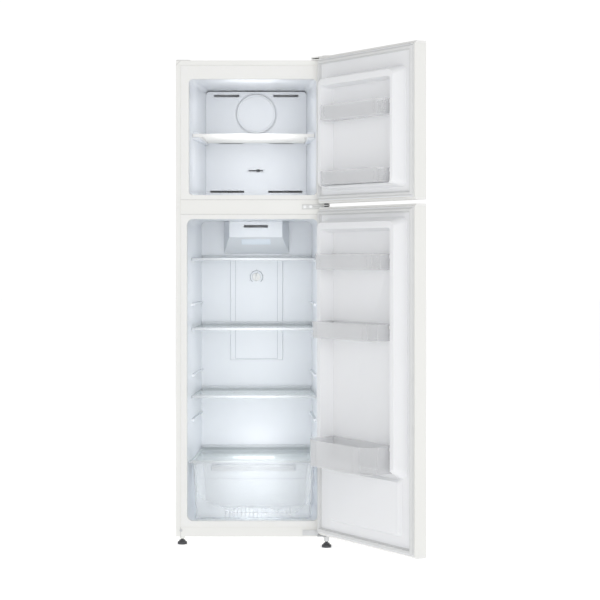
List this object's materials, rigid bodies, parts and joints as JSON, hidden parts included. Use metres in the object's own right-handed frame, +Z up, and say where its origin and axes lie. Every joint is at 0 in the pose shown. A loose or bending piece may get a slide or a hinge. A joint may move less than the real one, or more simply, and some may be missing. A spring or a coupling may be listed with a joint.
{
  "type": "top freezer refrigerator",
  "caption": "Tall white top freezer refrigerator with both doors open: glass shelves, crisper drawer, clear door bins, hinged doors and levelling feet.",
  "frame": {"origin": "on the floor, under the middle of the cabinet's front frame", "axes": "+Z up, +Y from the front of the cabinet to its back, +X to the right seen from the front"},
  "size_m": [0.8506, 1.0366, 1.7269],
  "materials": {
    "shell_paint": "gloss white powder coat",
    "rear_steel": "plain grey-white coat",
    "foam": "rigid polyurethane foam",
    "liner_plastic": "white vacuum-formed plastic",
    "door_liner": "white vacuum-formed plastic",
    "white_plastic": "white moulded plastic",
    "gasket_rubber": "soft grey-white seal",
    "zinc_steel": "zinc plated",
    "black_paint": "black enamel",
    "dark_plastic": "dark grey moulded plastic",
    "foot_steel": "dull zinc",
    "tube_steel": "copper-washed steel tube",
    "aluminium": "bare",
    "lens": "frosted lens",
    "shelf_glass": "clear tempered glass",
    "shelf_trim": "white edge trim",
    "clear_plastic": "clear moulded plastic"
  },
  "bodies": {
    "cabinet": {"outer_shell": "shell_paint", "rear_panel": "rear_steel", "bottom_deck": "shell_paint", "insulation_foam": "foam", "freezer_liner": "liner_plastic", "fridge_liner": "liner_plastic", "mullion_cover": "shell_paint", "hinge_hole_caps": "white_plastic", "top_hinge_bracket": "zinc_steel", "top_hinge_cover": "white_plastic", "middle_hinge_bracket": "zinc_steel", "bottom_hinge_bracket": "zinc_steel", "hinge_pins": "zinc_steel", "hinge_screws": "zinc_steel", "compressor_base": "zinc_steel", "compressor": "black_paint", "compressor_grommets": "gasket_rubber", "drain_pan": "dark_plastic", "refrigerant_tubing": "tube_steel", "evaporator": "aluminium", "defrost_heater": "tube_steel", "evaporator_cover": "liner_plastic", "fan_cover_disc": "liner_plastic", "fan_motor": "dark_plastic", "duct_housing": "liner_plastic", "lamp_lens": "lens", "duct_panel": "liner_plastic", "roller_axles": "zinc_steel"},
    "fan": {"fan_blade": "dark_plastic"},
    "air_slider": {"air_slider": "dark_plastic"},
    "thermostat_knob": {"thermostat_knob": "white_plastic"},
    "left_roller": {"rear_roller_left": "dark_plastic"},
    "right_roller": {"rear_roller_right": "dark_plastic"},
    "left_foot": {"front_left_foot": "foot_steel"},
    "right_foot": {"front_right_foot": "foot_steel"},
    "freezer_shelf": {"freezer_shelf": "white_plastic"},
    "upper_shelf": {"upper_shelf_glass": "shelf_glass", "upper_shelf_trim": "shelf_trim"},
    "middle_shelf": {"middle_shelf_glass": "shelf_glass", "middle_shelf_trim": "shelf_trim"},
    "lower_shelf": {"lower_shelf_glass": "shelf_glass", "lower_shelf_trim": "shelf_trim"},
    "crisper_cover": {"crisper_cover_glass": "shelf_glass", "crisper_cover_trim": "shelf_trim"},
    "crisper": {"crisper_drawer": "clear_plastic"},
    "freezer_door": {"freezer_door_skin": "shell_paint", "freezer_door_end_caps": "white_plastic", "freezer_door_liner": "door_liner", "freezer_door_foam": "foam", "freezer_door_gasket": "gasket_rubber"},
    "fridge_door": {"fridge_door_skin": "shell_paint", "fridge_door_end_caps": "white_plastic", "fridge_door_liner": "door_liner", "fridge_door_foam": "foam", "fridge_door_gasket": "gasket_rubber"},
    "freezer_upper_bin": {"freezer_upper_bin": "clear_plastic"},
    "freezer_lower_bin": {"freezer_lower_bin": "clear_plastic"},
    "fridge_upper_bin": {"fridge_upper_bin": "clear_plastic"},
    "fridge_middle_bin": {"fridge_middle_bin": "clear_plastic"},
    "bottle_bin": {"bottle_bin": "clear_plastic"}
  },
  "joints": [
    {"name": "freezer_door_hinge", "type": "hinge", "parent": "cabinet", "child": "freezer_door", "pos_m": [0.2605, -0.039, 1.2], "axis": [0, 0, 1], "range_deg": [-124.5, 5.5]},
    {"name": "fridge_door_hinge", "type": "hinge", "parent": "cabinet", "child": "fridge_door", "pos_m": [0.2605, -0.039, 0.04], "axis": [0, 0, 1], "range_deg": [-124.5, 5.5]},
    {"name": "upper_shelf_slide", "type": "slide", "parent": "cabinet", "child": "upper_shelf", "axis": [0, -1, 0], "range_m": [0, 0.2]},
    {"name": "middle_shelf_slide", "type": "slide", "parent": "cabinet", "child": "middle_shelf", "axis": [0, -1, 0], "range_m": [0, 0.2]},
    {"name": "lower_shelf_slide", "type": "slide", "parent": "cabinet", "child": "lower_shelf", "axis": [0, -1, 0], "range_m": [0, 0.2]},
    {"name": "crisper_cover_slide", "type": "slide", "parent": "cabinet", "child": "crisper_cover", "axis": [0, -1, 0], "range_m": [0, 0.2]},
    {"name": "crisper_slide", "type": "slide", "parent": "cabinet", "child": "crisper", "axis": [0, -1, 0], "range_m": [0, 0.25]},
    {"name": "freezer_shelf_slide", "type": "slide", "parent": "cabinet", "child": "freezer_shelf", "axis": [0, -1, 0], "range_m": [0, 0.2]},
    {"name": "freezer_upper_bin_lift", "type": "slide", "parent": "freezer_door", "child": "freezer_upper_bin", "axis": [0, 0, 1], "range_m": [0, 0.03]},
    {"name": "freezer_lower_bin_lift", "type": "slide", "parent": "freezer_door", "child": "freezer_lower_bin", "axis": [0, 0, 1], "range_m": [0, 0.03]},
    {"name": "fridge_upper_bin_lift", "type": "slide", "parent": "fridge_door", "child": "fridge_upper_bin", "axis": [0, 0, 1], "range_m": [0, 0.03]},
    {"name": "fridge_middle_bin_lift", "type": "slide", "parent": "fridge_door", "child": "fridge_middle_bin", "axis": [0, 0, 1], "range_m": [0, 0.03]},
    {"name": "bottle_bin_lift", "type": "slide", "parent": "fridge_door", "child": "bottle_bin", "axis": [0, 0, 1], "range_m": [0, 0.03]},
    {"name": "air_slider_slide", "type": "slide", "parent": "cabinet", "child": "air_slider", "axis": [1, 0, 0], "range_m": [-0.028, 0.011]},
    {"name": "thermostat_turn", "type": "hinge", "parent": "cabinet", "child": "thermostat_knob", "pos_m": [0, 0.44, 0.942], "axis": [0, 1, 0], "range_deg": [-120, 120]},
    {"name": "fan_spin", "type": "hinge", "parent": "cabinet", "child": "fan", "pos_m": [0, 0.43, 1.561], "axis": [0, 1, 0], "continuous": true},
    {"name": "left_roller_spin", "type": "hinge", "parent": "cabinet", "child": "left_roller", "pos_m": [-0.236, 0.5, 0.014], "axis": [1, 0, 0], "continuous": true},
    {"name": "right_roller_spin", "type": "hinge", "parent": "cabinet", "child": "right_roller", "pos_m": [0.236, 0.5, 0.014], "axis": [1, 0, 0], "continuous": true},
    {"name": "left_foot_level", "type": "slide", "parent": "cabinet", "child": "left_foot", "axis": [0, 0, -1], "range_m": [0, 0.01]},
    {"name": "right_foot_level", "type": "slide", "parent": "cabinet", "child": "right_foot", "axis": [0, 0, -1], "range_m": [0, 0.008]}
  ]
}
